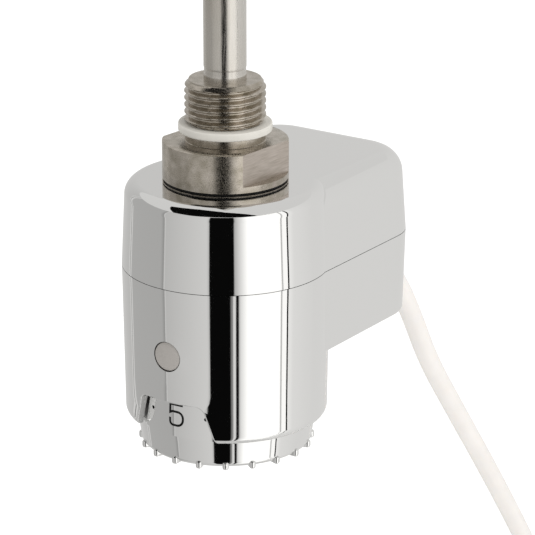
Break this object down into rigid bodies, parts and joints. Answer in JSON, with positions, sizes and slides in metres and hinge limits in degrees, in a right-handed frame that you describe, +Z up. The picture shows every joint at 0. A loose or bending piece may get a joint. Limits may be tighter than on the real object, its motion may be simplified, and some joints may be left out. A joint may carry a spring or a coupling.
{
  "type": "immersion heater thermostat head",
  "caption": "Chrome thermostat head of an electric towel-radiator element: threaded fitting, heater rod, box with hanging mains lead, and a numbered knob seen through an arched window.",
  "frame": {"origin": "centre of the wrench nut's top face, on the thread's axis", "axes": "+Z up along the thread and heater rod, -Y the front with the numbered window, +Y the back where the mains lead leaves, +X to the right seen from the front"},
  "size_m": [0.0755, 0.2285, 0.669],
  "materials": {
    "nickel_brass": "satin nickel plate on brass, brushed flats",
    "black_rubber": "matt",
    "stainless_sheath": "drawn and polished",
    "heater_ceramic": "matt",
    "nickel_pin": "bright nickel plate",
    "spring_steel": "zinc plated",
    "chrome_shell": "mirror chrome plate on moulded shell",
    "chrome_knob": "mirror chrome plate on moulded knob",
    "lens_grey": "translucent, satin face",
    "black_plastic": "fine moulded grain",
    "silicone_red": "satin",
    "cord_white": "soft satin PVC",
    "tie_white": "woven hook and loop",
    "plug_white": "satin moulded",
    "board_green": "solder mask",
    "relay_blue": "satin moulded",
    "capacitor_sleeve": "shrink sleeve",
    "fuse_glass": "matt",
    "terminal_green": "satin moulded",
    "core_brown": "satin PVC",
    "bush_natural": "waxy acetal"
  },
  "bodies": {
    "element": {"fitting_body": "nickel_brass", "thread_seal": "black_rubber", "flange_o_ring": "black_rubber", "heater_sheath": "stainless_sheath", "heater_core": "heater_ceramic", "terminal_pins": "nickel_pin", "ceramic_disc": "heater_ceramic", "sensor_capsule": "stainless_sheath", "retaining_clip": "spring_steel"},
    "head": {"upper_housing": "chrome_shell", "lower_housing": "chrome_shell", "indicator_lens": "lens_grey", "chassis_plate": "black_plastic", "heater_leads": "silicone_red", "cord_boot": "cord_white", "mains_cord": "cord_white", "cord_coil": "cord_white", "cord_tie": "tie_white", "plug_body": "plug_white", "plug_pins": "nickel_pin", "earth_strips": "spring_steel", "circuit_board": "board_green", "board_screws": "spring_steel", "power_relay": "relay_blue", "filter_capacitor": "capacitor_sleeve", "supply_block": "capacitor_sleeve", "thermal_fuse": "fuse_glass", "dial_potentiometer": "black_plastic", "terminal_block": "terminal_green", "terminal_screws": "spring_steel", "supply_cores": "core_brown", "cord_tail": "cord_white", "cord_clamp": "black_plastic", "clamp_screws": "spring_steel", "chassis_screws": "spring_steel", "indicator_led": "lens_grey", "thrust_washer": "bush_natural", "swivel_bush": "bush_natural", "housing_gasket": "black_rubber", "housing_screws": "spring_steel"},
    "knob": {"knob": "chrome_knob", "dial_spindle": "nickel_pin", "knob_screw": "spring_steel", "knob_cap": "black_plastic"}
  },
  "joints": [
    {"name": "head_swivel", "type": "hinge", "parent": "element", "child": "head", "pos_m": [0, 0, -0.018], "axis": [0, 0, 1], "range_deg": [-170, 170]},
    {"name": "knob_turn", "type": "hinge", "parent": "head", "child": "knob", "pos_m": [0, 0, -0.06], "axis": [0, 0, 1], "range_deg": [-41, 205]}
  ]
}
